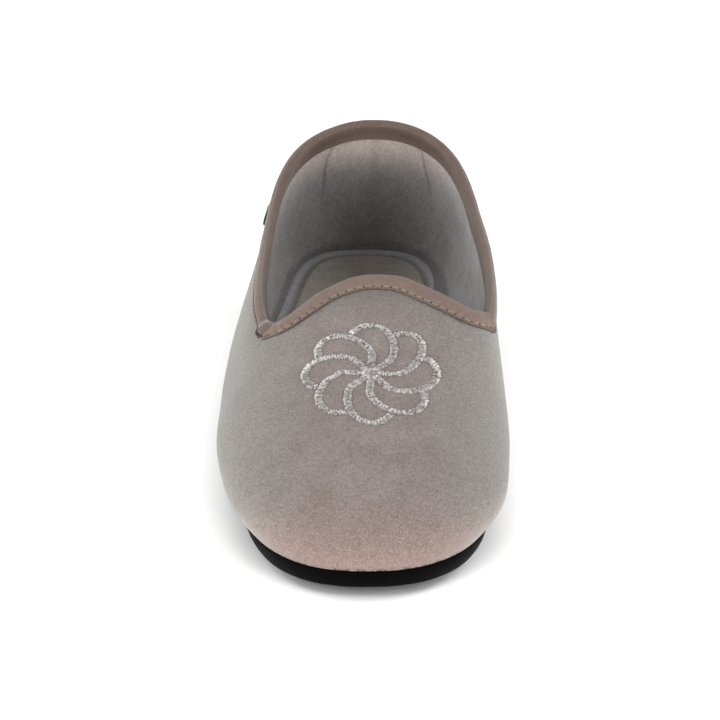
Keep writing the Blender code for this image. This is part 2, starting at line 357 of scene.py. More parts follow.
def perMetre(size):
    # pattern scale whose features are about this many millimetres apart
    return 1 / (size * mm)


def noise(tree, size, settings, place=None):
    # noise on the object's own coordinates, unless another place is given
    place = place or addNode(tree, "TexCoord").outputs["Object"]
    inputs = {"Scale": perMetre(size), **settings}
    return addNode(tree, "TexNoise", inputs=inputs, links={"Vector": place}).outputs["Fac"]


def ranged(tree, source, low, high, lowest=0.0, highest=1.0):
    # a value that runs from low to high, made to run from lowest to highest
    inputs = {"From Min": low, "From Max": high, "To Min": lowest, "To Max": highest}
    return addNode(tree, "MapRange", inputs=inputs, links={"Value": source}).outputs[0]


def aroundOne(tree, source, swing):
    return ranged(tree, source, *noiseSpan, 1 - swing, 1 + swing)


def mixed(tree, share, under, over):
    # a colour, or what another node gives, going over to a second colour by a share
    node = addNode(tree, "Mix", {"data_type": "RGBA"}, {mixB: linear(over)}, {0: share})
    if isinstance(under, str):
        node.inputs[mixA].default_value = linear(under)
    else:
        tree.links.new(under, node.inputs[mixA])
    return node.outputs[mixResult]


def times(tree, kind, first, second):
    # product of two values (Math), or of a colour and a value (VectorMath)
    return addNode(tree, kind, {"operation": "MULTIPLY"}, links={0: first, 1: second}).outputs[0]


def meshLayer(tree, name):
    return addNode(tree, "Attribute", {"attribute_name": name}).outputs["Fac"]


def emboss(tree, source, finish):
    # bumps of a depth in millimetres
    inputs = {"Strength": finish["strength"], "Distance": finish["depth"] * mm}
    return addNode(tree, "Bump", inputs=inputs, links={"Height": source}).outputs[0]


def velourMicrofibre():
    # polyester velour with a short brushed pile: matt, cloudy where the pile lies differently,
    # pale at grazing angles
    finish = {
        "dark": "#8A7E79", "light": "#978C88", "brushed": "#95817A", "flankSheen": "#8F8C87",
        "shadedBand": "#6F6C67", "jointShade": "#352D2A", "cloud": 9.0, "mottle": 1.7, "patchy": 0.07,
        "nick": (0.48, 0.60), "pile": 0.5, "strand": 0.6875, "fleck": 0.30, "strength": 0.35, "depth": 0.35,
    }
    material, tree, shader = newMaterial("velourMicrofibre", {
        "Roughness": 0.92, "Specular IOR Level": 0.25, **sheen(0.55, 0.42, "#E9ECEA")})
    cloud = noise(tree, finish["cloud"], {"Detail": 3.0, "Roughness": 0.55, "Distortion": 0.4})
    tone = mixed(tree, ranged(tree, cloud, *noiseSpan), finish["dark"], finish["light"])
    # of these tints flankSheen is painted sheen on the flanks and shadedBand is painted shade under the
    # collar's tape
    for part in ("brushed", "flankSheen", "shadedBand"):
        tone = mixed(tree, meshLayer(tree, part), tone, finish[part])
    mottle = noise(tree, finish["mottle"], {"Detail": 2.0})
    # painted shade along the join with the sole, broken into dark nicks about as long as the mottling
    nickedShade = times(tree, "Math", meshLayer(tree, "jointShade"), ranged(tree, mottle, *finish["nick"]))
    tone = mixed(tree, nickedShade, tone, finish["jointShade"])
    # the pile is some 0.05 mm thick, and drawn here as flecks that a render of this size can show
    place = addNode(tree, "TexCoord").outputs["Object"]
    stretch = (1.0, finish["pile"] / finish["strand"], 1.0)
    strands = addNode(tree, "Mapping", inputs={"Scale": stretch}, links={"Vector": place}).outputs[0]
    pile = noise(tree, finish["pile"], {"Detail": 2.0, "Roughness": 0.7}, strands)
    fleck, patchy = aroundOne(tree, pile, finish["fleck"]), aroundOne(tree, mottle, finish["patchy"])
    tone = times(tree, "VectorMath", tone, times(tree, "Math", fleck, patchy))
    wire(tree, shader, {"Base Color": tone, "Normal": emboss(tree, pile, finish)})
    return material


def foldedTape(name, dark, light):
    # smooth microfibre binding tape: faint weave, a painted highlight along the fold,
    # and painted shade in the needle holes and creases
    finish = {
        "weave": 0.55, "cloud": 5.0, "hole": "#2E241D", "rim": "#B9AEA5", "fleck": 0.14,
        "strength": 0.22, "depth": 0.2,
    }
    material, tree, shader = newMaterial(name, {
        "Roughness": 0.78, "Specular IOR Level": 0.3, **sheen(0.9, 0.3, "#EDEFEA")})
    tone = mixed(tree, noise(tree, finish["cloud"], {"Detail": 4.0}), dark, light)
    for part in ("rim", "hole"):
        tone = mixed(tree, meshLayer(tree, part), tone, finish[part])
    weave = noise(tree, finish["weave"], {"Detail": 1.0})
    tone = times(tree, "VectorMath", tone, aroundOne(tree, weave, finish["fleck"]))
    wire(tree, shader, {"Base Color": tone, "Normal": emboss(tree, weave, finish)})
    return material


def woolFelt(name, dark, light, tintColour, seamAndShadeColour):
    # needled felt: fuzzy, dull, with short fibres lying every way, a tinted part and darker sewn lines;
    # on the lining the tint is partly painted light, and the sewn lines' layer also carries painted shade
    finish = {"fibre": 0.9, "cloud": 8.0, "speckle": 0.22, "strength": 0.4, "depth": 0.4}
    material, tree, shader = newMaterial(name, {
        "Roughness": 0.97, "Specular IOR Level": 0.15, **sheen(0.25, 0.6, "#E4E6E8")})
    cloud = noise(tree, finish["cloud"], {"Detail": 5.0, "Roughness": 0.65})
    tone = mixed(tree, ranged(tree, cloud, *noiseSpan), dark, light)
    for part, colour in (("tint", tintColour), ("seamAndShade", seamAndShadeColour)):
        tone = mixed(tree, meshLayer(tree, part), tone, colour)
    fibre = noise(tree, finish["fibre"], {"Detail": 3.0, "Distortion": 1.2})
    tone = times(tree, "VectorMath", tone, aroundOne(tree, fibre, finish["speckle"]))
    wire(tree, shader, {"Base Color": tone, "Normal": emboss(tree, fibre, finish)})
    return material


def mouldedRubber():
    # black foamed rubber from a mould: deep black, satin, a fine pebble and slightly uneven gloss
    finish = {
        "dark": "#040404", "light": "#080707", "patch": 14.0, "roughness": (0.42, 0.62),
        "pebble": 0.8, "strength": 0.12, "depth": 0.15,
    }
    material, tree, shader = newMaterial("mouldedRubber", {"Specular IOR Level": 0.025})
    patch = noise(tree, finish["patch"], {"Detail": 4.0})
    rough = ranged(tree, patch, 0.0, 1.0, *finish["roughness"])
    tone = mixed(tree, patch, finish["dark"], finish["light"])
    pebble = noise(tree, finish["pebble"], {"Detail": 2.0})
    wire(tree, shader, {"Base Color": tone, "Roughness": rough, "Normal": emboss(tree, pebble, finish)})
    return material


def metallicThread():
    # lurex embroidery thread: silver foil strands with painted glints one by one, and painted shade where
    # they dive in
    finish = {"dull": "#776F6B", "bright": "#FBF6F4", "roughness": (0.6, 0.3)}
    material, tree, shader = newMaterial("metallicThread", {"Metallic": 0.45, "Specular IOR Level": 0.6})
    glint = meshLayer(tree, "glint")
    rough = ranged(tree, glint, 0.0, 1.0, *finish["roughness"])
    tone = mixed(tree, glint, finish["dull"], finish["bright"])
    wire(tree, shader, {"Base Color": tone, "Roughness": rough})
    return material


def sewingThread(name, dark, light):
    # spun polyester thread: twisted plies that catch a little light
    finish = {"ply": 0.5}
    material, tree, shader = newMaterial(name, {"Roughness": 0.6, **sheen(0.3, 0.4)})
    ply = noise(tree, finish["ply"], {"Detail": 2.0})
    wire(tree, shader, {"Base Color": mixed(tree, ply, dark, light)})
    return material


def grosgrainRibbon():
    # dark green ribbon with fine cross ribs
    finish = {"dark": "#22332C", "light": "#3A4F45", "rib": 0.8 * 6.28, "strength": 0.4, "depth": 0.15}
    material, tree, shader = newMaterial("grosgrainRibbon", {"Roughness": 0.7, **sheen(0.2, 0.4)})
    place = addNode(tree, "TexCoord").outputs["Object"]
    inputs = {"Scale": perMetre(finish["rib"]), "Distortion": 0.3}
    rib = addNode(tree, "TexWave", {"bands_direction": "Y"}, inputs, {"Vector": place}).outputs["Fac"]
    tone = mixed(tree, rib, finish["dark"], finish["light"])
    wire(tree, shader, {"Base Color": tone, "Normal": emboss(tree, rib, finish)})
    return material


# Upper: an outer shell of velour and a felt lining inside it

upperShape = {"columns": 400, "rows": 84, "backRows": 26, "velour": 1.15, "wave": 0.10}
# flankSheen is painted sheen; shadedBand and jointShade are painted shade
upperTints = {  # each pair says where a tint sets in and where it is full
    "brushedAlong": (-84, -124), "brushedHeight": (36, 12), "flankSheen": 0.8, "flankSheenAside": (14, 40),
    "shadedBand": 0.8, "shadedBandRise": (0.45, 0.85), "shadedBandAlong": (-40, -12), "jointShadeHeight": (0.8, 0.2),
}
creaseColumns = ("x", "y", "run", "length", "width", "depth")  # run is degrees from straight across
creaseRows = (
    (-12.0, -93.0, 8.0, 30.0, 9.0, 0.35), (18.0, -99.0, -12.0, 24.0, 8.0, 0.30),
    (-30.0, -42.0, 62.0, 16.0, 7.0, 0.35), (34.0, -44.0, -66.0, 16.0, 7.0, 0.35),
    (-38.0, 20.0, 74.0, 26.0, 9.0, 0.40), (36.0, 30.0, -80.0, 30.0, 9.0, 0.35),
    (-24.0, 112.0, 30.0, 14.0, 7.0, 0.30), (26.0, 110.0, -30.0, 14.0, 7.0, 0.30),
)


def relief(x, y):
    # soft troughs with a low ridge on each side, and a slight wave of the cloth all over
    wave = np.sin(x / 9 + 1.3 * np.sin(y / 13)) * np.sin(y / 11 + 0.8 * np.sin(x / 15))
    height = upperShape["wave"] * wave
    for row in creaseRows:
        crease = dict(zip(creaseColumns, row))
        run = math.radians(crease["run"])
        dx, dy = x - crease["x"], y - crease["y"]
        u = (dx * math.cos(run) + dy * math.sin(run)) / crease["length"]
        v = (dy * math.cos(run) - dx * math.sin(run)) / crease["width"]
        height = height - crease["depth"] * (1 - v * v) * np.exp(-u * u - v * v)
    return height


def upperFace(turn, rise):
    # ribs in plan run from the outline to the edge of the opening, and the last gives their height
    turn, rise = np.meshgrid(turn, rise)
    angle = ringAngle(turn)
    x0, station0 = outline(angle)
    x1, station1 = topline(angle)
    share = (1 - np.cos(math.pi * rise)) / 2
    x = x0 + (x1 - x0) * share
    station = station0 + (station1 - station0) * share
    points = drawnIn(crown(x, station), angle, station)
    normals = gridNormals(points)
    fade = smoothStep(0, 0.12, rise) * smoothStep(1, 0.8, rise)
    return points + normals * (fade * relief(x, alongFoot(station)))[..., None], normals


def makeUpper(material):
    turn = np.arange(upperShape["columns"]) / upperShape["columns"]
    face, _ = upperFace(turn, np.linspace(0, 1, upperShape["rows"]))
    back, backNormals = upperFace(turn, np.linspace(0, 1, upperShape["backRows"]))
    points = join([face, (back - backNormals * upperShape["velour"])[::-1]])
    x, y, z = np.moveaxis(points, -1, 0)
    rise = join([np.linspace(0, 1, len(face)), np.linspace(1, 0, len(back))])[:, None]
    tints = upperTints
    brushed = smoothStep(*tints["brushedAlong"], y) * smoothStep(*tints["brushedHeight"], z)
    # painted sheen: the flanks greyer, as a velvet pile looks at grazing angles
    flankSheen = tints["flankSheen"] * smoothStep(*tints["flankSheenAside"], np.abs(x)) * (1 - brushed)
    # painted shade: darker on the wall under the collar's tape
    shadedBand = smoothStep(*tints["shadedBandRise"], rise) * smoothStep(*tints["shadedBandAlong"], y)
    # painted shade in the lowest millimetre of the velour, where it meets the sole
    jointShade = smoothStep(*tints["jointShadeHeight"], z - z[:1])
    layers = {"brushed": brushed, "flankSheen": flankSheen, "shadedBand": tints["shadedBand"] * shadedBand, "jointShade": jointShade}
    dress(addGrid("velourUpper", points, layers, wrapRows=True), material, "upper")


liningShape = {
    "columns": 360, "rows": 60, "backRows": 24, "gap": 0.05,
    "seamMiddle": 0.997, "middleWidth": 1.4, "middleRise": (0.2, 0.6), "perTurn": 500.0, "seamWidth": 0.8,
    "seamReach": 12, "seamFine": 61, "seamFade": 0.2, "seamDepth": 0.30, "waver": 0.5,
    "tuck": 0.8, "tuckHeight": (2.5, 0), "heelFillet": 3.9, "sideFillet": 5.2, "filletHeight": 14.0,
}
# the sewn lines are darkened by their thread; dim, hollowShade and contactShade are painted shade: low on
# the walls, deep in the heel and along the insole; warmLit makes the heel's top warmer and, as painted
# light, lighter
liningTints = {  # each pair says where a tint sets in and where it is full
    "seamAndShade": 0.36, "middle": 0.12, "dim": 0.32, "dimRise": (0.65, 0.2),
    "contactShade": 0.68, "contactHeight": (5.0, 4.2),
    "hollowShade": 0.28, "hollowRise": (0.68, 0.32), "hollowAlong": (60, 100), "hollowX": 6, "hollowWidth": 21,
    "warmLitAlong": (70, 112), "warmLitHeight": (40, 56),
}
seamColumns = ("turn", "spread", "strength", "ends")  # spread: mm out at the floor; ends: share of the rise
seamRows = ((0.0213, 9.3, 0.9, 0.20), (0.0172, 6.0, 0.6, 0.72), (0.9684, 14.3, 0.9, 0.20))


def makeLining(material):
    # the same ribs set inwards by the wall and rounded onto the insole, the heel's sewn lines pressed in
    lining, tints = liningShape, liningTints
    fine = np.linspace(-lining["seamReach"], lining["seamReach"], lining["seamFine"]) / lining["perTurn"]
    seams = [dict(zip(seamColumns, row)) for row in seamRows]
    even = np.arange(lining["columns"]) / lining["columns"]
    turn = join([even, *[line["turn"] + fine for line in seams]])
    turn = np.unique(np.round(turn % 1, 6))
    back, backNormals = upperFace(turn, np.linspace(0, 1, lining["backRows"]))
    face, normals = upperFace(turn, np.linspace(0, 1, lining["rows"]))
    rise = np.linspace(0, 1, lining["rows"])[:, None]
    place = turn * lining["perTurn"] + lining["waver"] * (np.sin(9 * rise) + 0.5 * np.sin(23 * rise))
    middle = bump(place, lining["seamMiddle"] * lining["perTurn"], lining["middleWidth"])
    middle = middle * smoothStep(*lining["middleRise"], rise)
    seamAndShade = np.zeros(place.shape)
    for line in seams:
        aside = np.where(turn < 0.5, 1, -1) * line["spread"] * (1 - rise)
        drawn = bump(place - aside, line["turn"] * lining["perTurn"], lining["seamWidth"])
        seamAndShade += line["strength"] * drawn * smoothStep(line["ends"], line["ends"] + lining["seamFade"], rise)
    height = face[..., 2] - face[:1, :, 2]
    up = np.clip(height / lining["filletHeight"], 0, 1)
    fillet = lining["heelFillet"] + lining["sideFillet"] * np.sin(ringAngle(turn)) ** 2
    depth = last["wall"] - lining["seamDepth"] * seamAndShade + fillet * (1 - up) ** 2
    outer = back - backNormals * (upperShape["velour"] + lining["gap"])
    points = join([outer, (face - normals * depth[..., None])[::-1]])
    points[..., 2] -= lining["tuck"] * smoothStep(*lining["tuckHeight"], points[..., 2] - face[:1, :, 2])
    # painted shade: darker low on the walls, deep in the heel's middle and along the insole
    hollowShade = smoothStep(*tints["hollowAlong"], face[..., 1])
    hollowShade = hollowShade * bump(face[..., 0], tints["hollowX"], tints["hollowWidth"])
    dim = tints["dim"] * smoothStep(*tints["dimRise"], rise)
    dim = dim + tints["hollowShade"] * smoothStep(*tints["hollowRise"], rise) * hollowShade
    contactShade = tints["contactShade"] * smoothStep(*tints["contactHeight"], height)
    # the layer of sewn lines also carries this painted shade
    shade = np.maximum(tints["seamAndShade"] * seamAndShade + tints["middle"] * middle + dim, contactShade)
    sewn = join([np.zeros(outer.shape[:2]), shade[::-1]])
    # warmer towards the heel's top, and lighter there as painted light
    warmLit = smoothStep(*tints["warmLitAlong"], points[..., 1]) * smoothStep(*tints["warmLitHeight"], points[..., 2])
    dress(addGrid("feltLining", points, {"seamAndShade": sewn, "tint": warmLit}, wrapRows=True), material)


# Bindings: tapes folded over the edge of the opening, running on flat past the notches

walkSteps, lineSteps, walkReach, edgeStep, wallShare = 160, 1400, 26.0, 0.03, 0.98


def downTheWall(share, x, station):
    # the collar's tape lies down the wall, towards the outline
    outlineX, outlineStation = outline(collarAngle(share))
    return x + wallShare * (outlineX - x), station + wallShare * (outlineStation - station)


def towardsTheToe(share, x, station):
    # the throat's tape lies on the vamp, square to the edge in plan
    share = np.clip(share, -1, 1)
    x0, station0 = throatEdge(np.maximum(share - edgeStep, -1))
    x1, station1 = throatEdge(np.minimum(share + edgeStep, 1))
    run = np.stack([x1 - x0, alongFoot(station1) - alongFoot(station0)])
    run *= walkReach / np.linalg.norm(run, axis=0)
    return x + run[1], station + run[0] / last["length"]


tapeShape = {
    "innerLeg": 6.0, "thick": 0.6, "gap": 0.15, "roll": 1.0, "flatRoll": 0.6, "pitch": 3.0,
    "grooveWidth": 0.5, "bend": 0.020,
}
# rim sets the strength of the fold's painted highlight, line that of the painted shade below the stitches
collarTape = {
    **tapeShape, "edge": collarEdge, "target": downTheWall, "columns": 560, "leg": 3.6, "puff": 0.20,
    "lip": 0.45, "stitchAt": 2.8, "groove": 0.20, "pucker": 0.04, "ease": 0.008, "line": 0.0, "rim": 0.25,
    "ends": (1.02, 1.01), "sewn": (0.985, 0.97), "over": (0.9, 0.0), "widen": (1.3, 1.2), "web": (1.6, 0.0),
    "rounded": (0.010, 0.012), "slant": (1.5, 0.0), "flatten": (0.0, 1.0), "dive": (3.2, 0.0),
}
throatTape = {
    **tapeShape, "edge": throatEdge, "target": towardsTheToe, "columns": 300, "leg": 6.5, "puff": 0.30,
    "lip": 0.50, "stitchAt": 5.2, "groove": 0.28, "pucker": 0.16, "ease": 0.02, "line": 0.45, "rim": 0.6,
    "ends": (1.03, 0.99), "sewn": (0.90, 0.96), "over": (-0.3, 0.9), "widen": (1.0, 1.0), "web": (0.0, 0.0),
    "rounded": (0.10, 0.012), "slant": (0.0, 0.0), "flatten": (1.0, 1.0), "dive": (0.0, 0.0),
}  # pairs are for the lateral and the medial notch
tapeRows = {"leg": 36, "fold": 13, "inner": 12}  # points round the section
# marks on the tape: painted shade inside the fold, at the lip's foot, below the stitches and in the needle
# holes, a painted highlight along the fold, and puckers
tapeMarks = {
    "inside": 0.24, "insideAt": 2.6, "insideWidth": 1.7, "lip": 0.8, "lipFrom": 0.30, "lipTo": 0.05,
    "lineBelow": 0.6, "lineWidth": 0.25, "puckerAbove": 0.9, "puckerWidth": 1.5, "looseWidth": 3.0,
    "holeDepth": 0.35, "rimAt": 0.85, "rimWidth": 0.35,
}
threadShape = {
    "around": 8, "along": 9, "width": 0.18, "height": 0.16, "hole": 0.33, "clear": 0.198, "sink": 0.08,
}


def walkFrom(tape, share, depth):
    # surface points and normals at depths below a tape's edge: the path in plan is straight,
    # and the depth is measured along it
    x, station = tape["edge"](share)
    toX, toStation = tape["target"](share, x, station)
    step = np.linspace(0, 1, walkSteps) ** 2
    path = crown(x + (toX - x) * step[:, None], station + (toStation - station) * step[:, None])
    length = np.zeros(path.shape[:2])
    length[1:] = np.cumsum(np.linalg.norm(np.diff(path, axis=0), axis=-1), axis=0)
    below = np.maximum(depth, 0)
    i = np.clip((length.T[:, :, None] <= below[:, None, :]).sum(1) - 1, 0, walkSteps - 2)
    near = np.take_along_axis(length.T, i, 1)
    far = np.take_along_axis(length.T, i + 1, 1)
    at = step[i] + (step[i + 1] - step[i]) * (below - near) / (far - near)
    placeX = x[:, None] + (toX - x)[:, None] * at
    placeStation = station[:, None] + (toStation - station)[:, None] * at
    down = unit(path[1] - path[0])
    points = crown(placeX, placeStation) + down[:, None] * np.minimum(depth, 0)[..., None]
    return points, crownNormal(placeX, placeStation)


def foldTurn():
    return np.linspace(0, math.pi, tapeRows["fold"] + 2)[1:-1]


def tapeSection(tape):
    # (depth, height out of the wall) round the folded tape, and round the same tape folded flat:
    # outer leg from its lip to the edge, half a turn over the edge, inner leg, and back inside the fold
    thick, gap, leg, wall = tape["thick"], tape["gap"], tape["leg"], last["wall"]
    outside = gap + thick
    legDepth = np.linspace(leg, 0, tapeRows["leg"])
    lip = np.clip((legDepth - leg + tape["lip"]) / tape["lip"], 0, 1)
    puff = tape["puff"] * np.sin(math.pi * np.clip(legDepth / tape["stitchAt"], 0, 1)) ** 0.8
    groove = tape["groove"] * bump(legDepth, tape["stitchAt"], tape["grooveWidth"])
    face = outside + puff - groove - thick * (1 - np.sqrt(1 - lip**2))
    turn = foldTurn()
    innerDepth = np.linspace(0, tape["innerLeg"], tapeRows["inner"])
    half = wall / 2 + outside
    foldBack = [tape["innerLeg"], tape["innerLeg"] / 2, 0, 0, leg / 2, leg - tape["lip"]]
    foldDepth = join([legDepth, -tape["roll"] * np.sin(turn), innerDepth, foldBack])
    foldInside = [-wall - gap] * 3 + [gap] * 3
    foldOut = join([
        face, half * np.cos(turn) - wall / 2, 0 * innerDepth - wall - outside, foldInside])
    flatBack = [leg, leg / 2, 0, 0, leg / 2, leg - tape["lip"]]
    flatDepth = join([
        legDepth, -tape["flatRoll"] * np.sin(turn), innerDepth * leg / tape["innerLeg"], flatBack])
    flatInside = [gap + 0.9 * thick] * 3 + [gap + 1.1 * thick] * 3
    flatOut = join([
        face + thick, gap + thick * (1 + np.cos(turn)), 0 * innerDepth + gap, flatInside])
    return foldDepth, foldOut, flatDepth, flatOut


def atNotch(tape, share, *names):
    # a tape's values for the notch that a share lies towards
    return (np.array(tape[name])[(share > 0).astype(int)] for name in names)


def tapeEnds(tape, share):
    # towards a notch a tape widens, fills the corner and mounts the other tape,
    # then lies flat and is rounded off
    away = np.abs(share)
    ends, over, widen, web = atNotch(tape, share, "ends", "over", "widen", "web")
    rounded, flatten, dive = atNotch(tape, share, "rounded", "flatten", "dive")
    flat = flatten * smoothStep(1 - tape["ease"], 1 + tape["ease"], away)
    near = smoothStep(1 - 3 * tape["ease"], 1, away)
    corner = np.clip(1 - (ends - away) / rounded, 0, 1)
    bend = 1 - np.sqrt(1 - np.clip(1 - (ends - away) / tape["bend"], 0, 1) ** 2)
    width = (1 + (widen - 1) * near) * np.sqrt(1 - 0.9 * corner**2)
    return flat, width, over * near - dive * bend, 1 + web * near


def stitchLine(tape):
    # share, length along and frames of the sewn line, for stitches of equal length
    share = np.linspace(-tape["sewn"][0], tape["sewn"][1], lineSteps)
    points, normals = walkFrom(tape, share, tape["stitchAt"] * tapeEnds(tape, share)[1][:, None])
    points, normals = points[:, 0], normals[:, 0]
    length = join([[0], np.cumsum(np.linalg.norm(np.diff(points, axis=0), axis=-1))])
    return share, length, points, normals


def makeTape(name, tape, material, node):
    share = np.linspace(-tape["ends"][0], tape["ends"][1], tape["columns"])
    foldDepth, foldOut, flatDepth, flatOut = tapeSection(tape)
    flat, width, over, roll = (values[:, None] for values in tapeEnds(tape, share))
    depth = foldDepth * (1 - flat) + flatDepth * flat
    out = foldOut * (1 - flat) + flatOut * flat + over
    lineShare, length, *_ = stitchLine(tape)
    along = np.interp(share, lineShare, length)[:, None] / tape["pitch"]
    fromHole = np.abs(along - np.rint(along)) * tape["pitch"]
    marks, stitchAt, holeSize = tapeMarks, tape["stitchAt"], threadShape["hole"]
    column = np.arange(depth.shape[1])
    foldStart = tapeRows["leg"]
    innerStart = foldStart + tapeRows["fold"]
    face = (column < foldStart)[None]
    inside = (column >= innerStart) & (column < innerStart + tapeRows["inner"])
    # painted shade in the needle holes, inside the fold, at the lip's foot and below the stitches; painted
    # highlight along the fold
    hole = face * bump(fromHole, 0, holeSize) * bump(depth, stitchAt, holeSize)
    rim = np.zeros(depth.shape)
    rim[:, foldStart:innerStart] = tape["rim"] * bump(foldTurn(), marks["rimAt"], marks["rimWidth"])
    crease = marks["inside"] * inside * bump(depth, marks["insideAt"], marks["insideWidth"]) * (1 - flat)
    lip = smoothStep(tape["leg"] - marks["lipFrom"], tape["leg"] - marks["lipTo"], depth)
    line = bump(depth, stitchAt + marks["lineBelow"], marks["lineWidth"])
    crease = crease + face * (marks["lip"] * lip) + face * tape["line"] * line
    phase = 2 * math.pi * along
    drawn = face * np.cos(phase) * bump(depth, stitchAt - marks["puckerAbove"], marks["puckerWidth"])
    loose = np.sin(phase / 4.3 + 1.1) + 0.7 * np.sin(phase / 2.7)
    pucker = drawn + 0.5 * loose * bump(depth, 0, marks["looseWidth"])
    out = out - marks["holeDepth"] * hole - tape["pucker"] * pucker
    points, normals = walkFrom(tape, share, depth * np.where(depth > 0, width, roll))
    points = points + normals * out[..., None]
    forward = unit(np.gradient(crown(*tape["edge"](share)), axis=0))[:, None]
    ends, slant = atNotch(tape, share, "ends", "slant")
    cut = np.sign(share) * slant * smoothStep(ends - 3 * tape["ease"], ends, np.abs(share))
    points = points + forward * (cut[:, None] * (0.5 - np.clip(depth / tape["leg"], 0, 1)))[..., None]
    layers = {"hole": hole + crease, "rim": rim}
    dress(addGrid(name, points, layers, capped=True, weld=True, sharp=60), material, node)


def makeStitches(name, tape, material):
    # each stitch is a bead drawn out between two needle holes:
    # an ellipse that swells and closes along its length
    share, length, points, normals = stitchLine(tape)
    holes = np.arange(1, int(length[-1] / tape["pitch"])) * tape["pitch"]
    starts, ends = holes[:-1] + threadShape["clear"], holes[1:] - threadShape["clear"]
    at = starts + (ends - starts) * np.linspace(0, 1, threadShape["along"])[:, None]
    flat, _, over, _ = tapeEnds(tape, np.interp(at, length, share))
    centre, normal = (
        np.stack([np.interp(at, length, part) for part in along.T], -1) for along in (points, normals))
    out = tape["gap"] + tape["thick"] - tape["groove"] + threadShape["sink"] + flat * tape["thick"] + over
    swell = np.sqrt(1 - np.linspace(-1, 1, threadShape["along"]) ** 4)[:, None, None, None]
    side = unit(np.cross(normal, np.gradient(centre, axis=0)))
    turn = np.linspace(0, 2 * math.pi, threadShape["around"], endpoint=False)[:, None]
    ring = threadShape["width"] * np.cos(turn) * side[:, :, None]
    ring = ring + threadShape["height"] * np.sin(turn) * normal[:, :, None]
    beads = (centre + normal * out[..., None])[:, :, None] + swell * ring
    beads = beads.transpose(1, 0, 2, 3)
    block = gridFaces(threadShape["along"], threadShape["around"])
    faces = block + np.arange(len(beads))[:, None, None] * threadShape["along"] * threadShape["around"]
    dress(addPiece(name, beads, faces.reshape(-1, 4), weld=True), material)


# Rosette: eight strokes of satin stitch, each leaving the hub and rounding over onto the next

rosette = {
    "x": 1.0, "station": 0.7345, "radius": 21.3, "stretch": 1.10, "bow": 0.0055, "petals": 8,
    "firstTip": 91.0, "hubRadius": 1.426, "hubLift": 0.25, "band": 2.75, "height": 0.62, "sunk": 0.4,
    "pitch": 0.36, "slant": 0.5, "taper": 1.2, "uneven": 0.16,
    "samples": 500, "hubSamples": 180, "across": 11,
}
strokeColumns = ("reach", "turn")  # share of the radius, and degrees on from the petal's tip
strokeRows = (
    (0.08, -45.0), (0.37, -49.0), (0.59, -37.5), (0.79, -24.5),
    (0.94, -12.5), (1.00, 0.0), (0.955, 11.0), (0.855, 20.0),
)


def onVamp(across, along):
    # a flat drawing laid on the vamp: the tangent plane at the rosette's middle is dropped onto the last
    x, station = np.array([rosette["x"]]), np.array([rosette["station"]])
    middle, normal = crown(x, station)[0], crownNormal(x, station)[0]
    right = unit(np.array((1.0, 0.0, -normal[0] / normal[2])))
    back = np.cross(normal, right)
    flat = middle + across[..., None] * right + along[..., None] * back
    place = 0.5 - flat[..., 1] / last["length"]
    lean = sectionAt("lean", place) * (flat[..., 2] - sectionAt("feather", place)) / last["leanRise"]
    return flat[..., 0] - lean, place


def satinBand(across, along, lift, ends):
    # raised band along a drawn line: half an ellipse across, ridged by each thread,
    # its edge uneven from thread to thread
    step = np.hypot(np.gradient(across), np.gradient(along))
    length = np.cumsum(step)
    side = np.stack([-np.gradient(along), np.gradient(across)]) / step
    v = np.linspace(-1, 1, rosette["across"])
    thread = length[:, None] / rosette["pitch"] + rosette["slant"] * v
    count = int(thread.max()) + 4
    index = np.clip(np.floor(thread).astype(int) + 2, 0, count - 1)
    edge = 1 + rosette["uneven"] * rng.uniform(-1, 1, count)[index]
    shine = rng.uniform(0, 1, (count, 4))[index, np.clip(((v + 1) * 2).astype(int), 0, 3)[None]]
    taper = smoothStep(0, rosette["taper"], length) * smoothStep(0, rosette["taper"], length[-1] - length)
    taper = 1 - (1 - taper[:, None]) * ends
    half = rosette["band"] / 2 * edge * v
    x, station = onVamp(across[:, None] + side[0][:, None] * half, along[:, None] + side[1][:, None] * half)
    ridge = 0.72 + 0.28 * np.abs(np.sin(math.pi * thread))
    height = rosette["height"] * np.sqrt(1 - 0.96 * v * v) * ridge * taper
    normals = crownNormal(x, station)
    base = crown(x, station) + normals * relief(x, alongFoot(station))[..., None]
    top = base + normals * (height + lift)[..., None]
    corners = [0, rosette["across"] // 2, -1]
    under = (base - normals * rosette["sunk"])[:, ::-1][:, corners]
    # painted glints: a random shine per thread, brighter on each thread's ridge, and painted shade at the
    # band's edges
    bright = shine * (0.35 + 0.65 * ridge) * (1 - 0.9 * ends * v**4)
    glint = join([bright, np.zeros((len(length), len(corners)))], 1)
    return join([top, under], 1)[:, ::-1], glint[:, ::-1]


